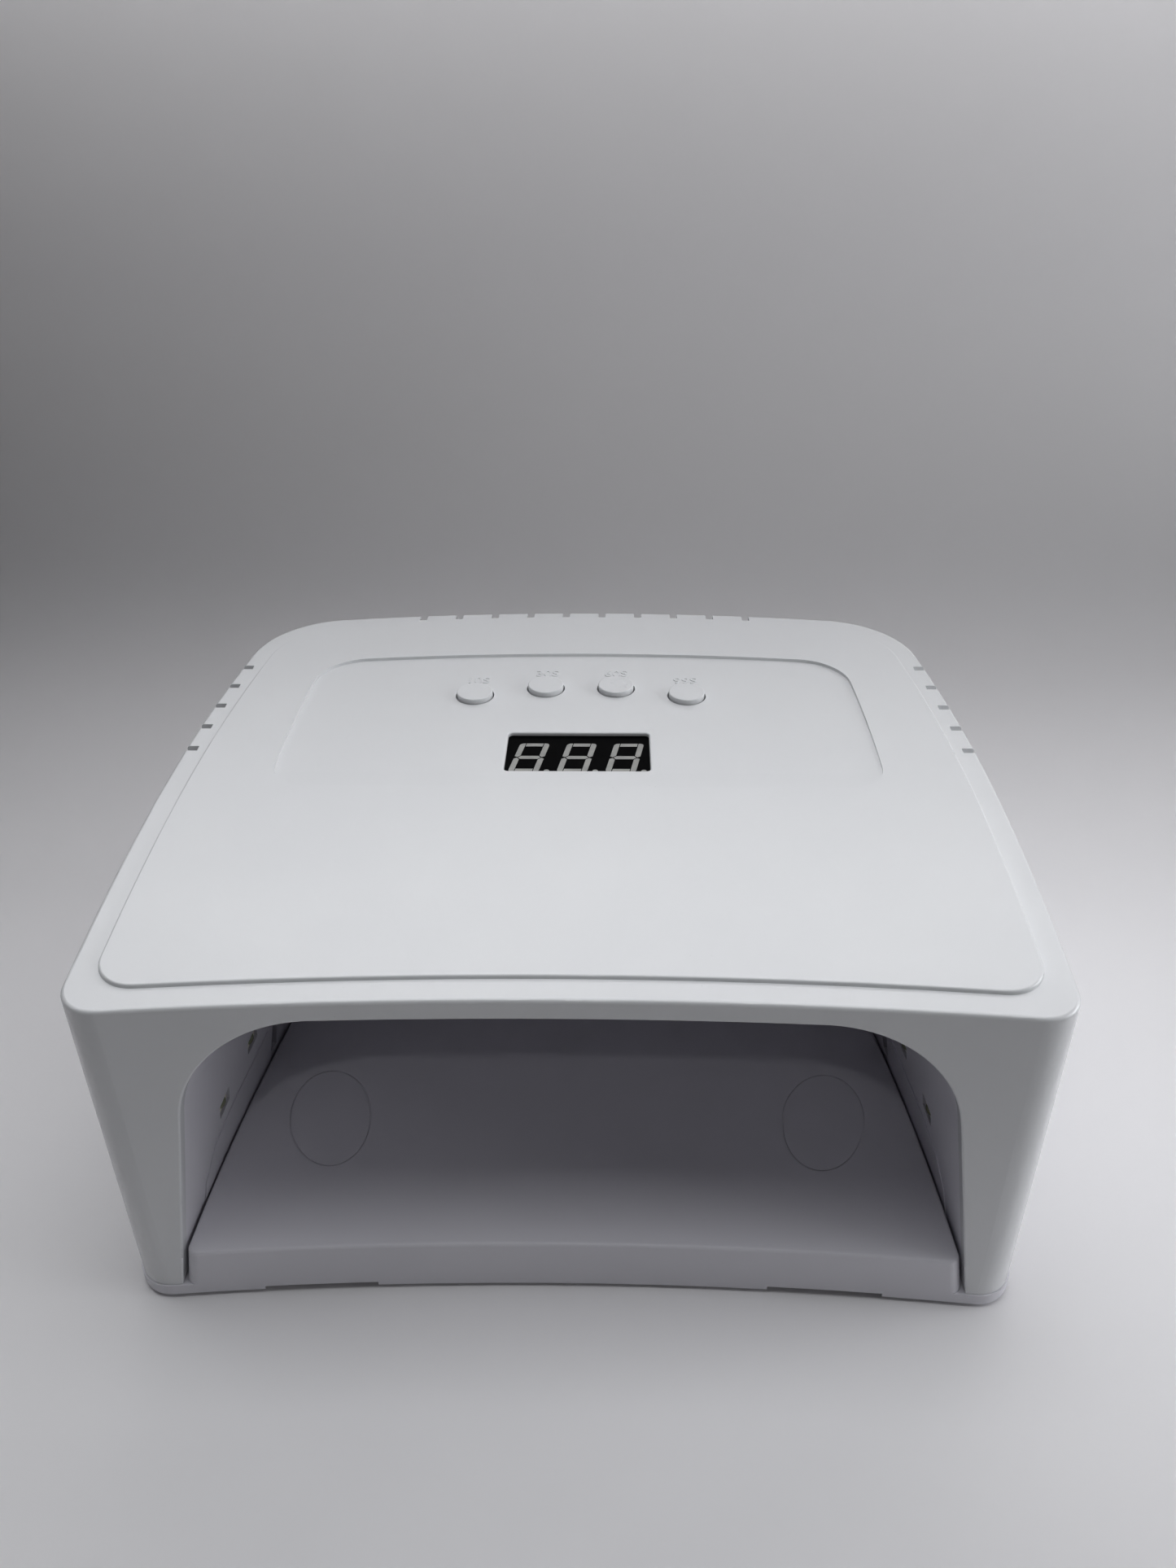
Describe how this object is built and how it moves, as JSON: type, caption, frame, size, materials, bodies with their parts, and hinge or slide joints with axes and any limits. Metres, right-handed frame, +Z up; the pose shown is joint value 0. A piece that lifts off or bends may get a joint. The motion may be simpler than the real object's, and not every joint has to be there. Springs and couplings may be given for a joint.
{
  "type": "gel nail curing lamp",
  "caption": "Table-top UV LED curing lamp: white arched housing with timer keys and a digit display, lifting off a shallow floor tray.",
  "frame": {"origin": "on the table plane, under the middle of the tray's footprint", "axes": "+Z up; the hand opening faces -Y; +X to the right when looking into the opening"},
  "size_m": [0.2138, 0.1825, 0.0987],
  "materials": {
    "housing_white": "satin gloss moulded white",
    "tray_white": "fine satin white",
    "liner_white": "satin reflector white",
    "button_white": "satin gloss",
    "display_black": "black face",
    "segment_grey": "unlit diffuser",
    "board_green": "solder mask",
    "led_board_white": "white solder mask on aluminium",
    "led_package": "matte",
    "led_lens": "yellow-green silicone",
    "steel": "zinc plated",
    "nickel": "nickel plated magnet",
    "rubber": "matte",
    "black_plastic": "moulded",
    "contact_brass": "plated",
    "wire_insulation": "insulation",
    "sensor_dark": "infrared window",
    "capacitor_sleeve": "sleeve",
    "connector_cream": "moulded"
  },
  "bodies": {
    "tray": {"base_tray": "tray_white", "rubber_feet": "rubber", "tray_magnets": "nickel"},
    "housing": {"top_shell": "housing_white", "inner_liner": "liner_white", "led_strip_right": "led_board_white", "led_strip_left": "led_board_white", "led_strip_rear": "led_board_white", "led_board_roof": "led_board_white", "led_packages": "led_package", "led_lenses": "led_lens", "hand_sensor_pair": "sensor_dark", "liner_screws": "steel", "control_board": "board_green", "control_board_screws": "steel", "control_chip": "black_plastic", "power_transistors": "black_plastic", "smoothing_capacitor": "capacitor_sleeve", "board_connectors": "connector_cream", "display_module": "display_black", "display_segments": "segment_grey", "switch_bodies": "black_plastic", "dc_socket": "black_plastic", "dc_socket_pin": "contact_brass", "dc_socket_nut": "steel", "power_wires": "wire_insulation", "led_wires": "wire_insulation", "housing_magnets": "nickel"},
    "key_10s": {"button_10s": "button_white", "switch_plunger_10s": "black_plastic"},
    "key_30s": {"button_30s": "button_white", "switch_plunger_30s": "black_plastic"},
    "key_60s": {"button_60s": "button_white", "switch_plunger_60s": "black_plastic"},
    "key_99s": {"button_99s": "button_white", "switch_plunger_99s": "black_plastic"}
  },
  "joints": [
    {"name": "housing_lift", "type": "slide", "parent": "tray", "child": "housing", "axis": [0, 0, 1], "range_m": [0, 0.12]},
    {"name": "press_10s", "type": "slide", "parent": "housing", "child": "key_10s", "axis": [0, 0.0301, -0.9995], "range_m": [0, 0.0007], "stiffness_N_per_m": 900, "springref_m": -0.0006},
    {"name": "press_30s", "type": "slide", "parent": "housing", "child": "key_30s", "axis": [0, 0.0301, -0.9995], "range_m": [0, 0.0007], "stiffness_N_per_m": 900, "springref_m": -0.0006},
    {"name": "press_60s", "type": "slide", "parent": "housing", "child": "key_60s", "axis": [0, 0.0301, -0.9995], "range_m": [0, 0.0007], "stiffness_N_per_m": 900, "springref_m": -0.0006},
    {"name": "press_99s", "type": "slide", "parent": "housing", "child": "key_99s", "axis": [0, 0.0301, -0.9995], "range_m": [0, 0.0007], "stiffness_N_per_m": 900, "springref_m": -0.0006}
  ]
}
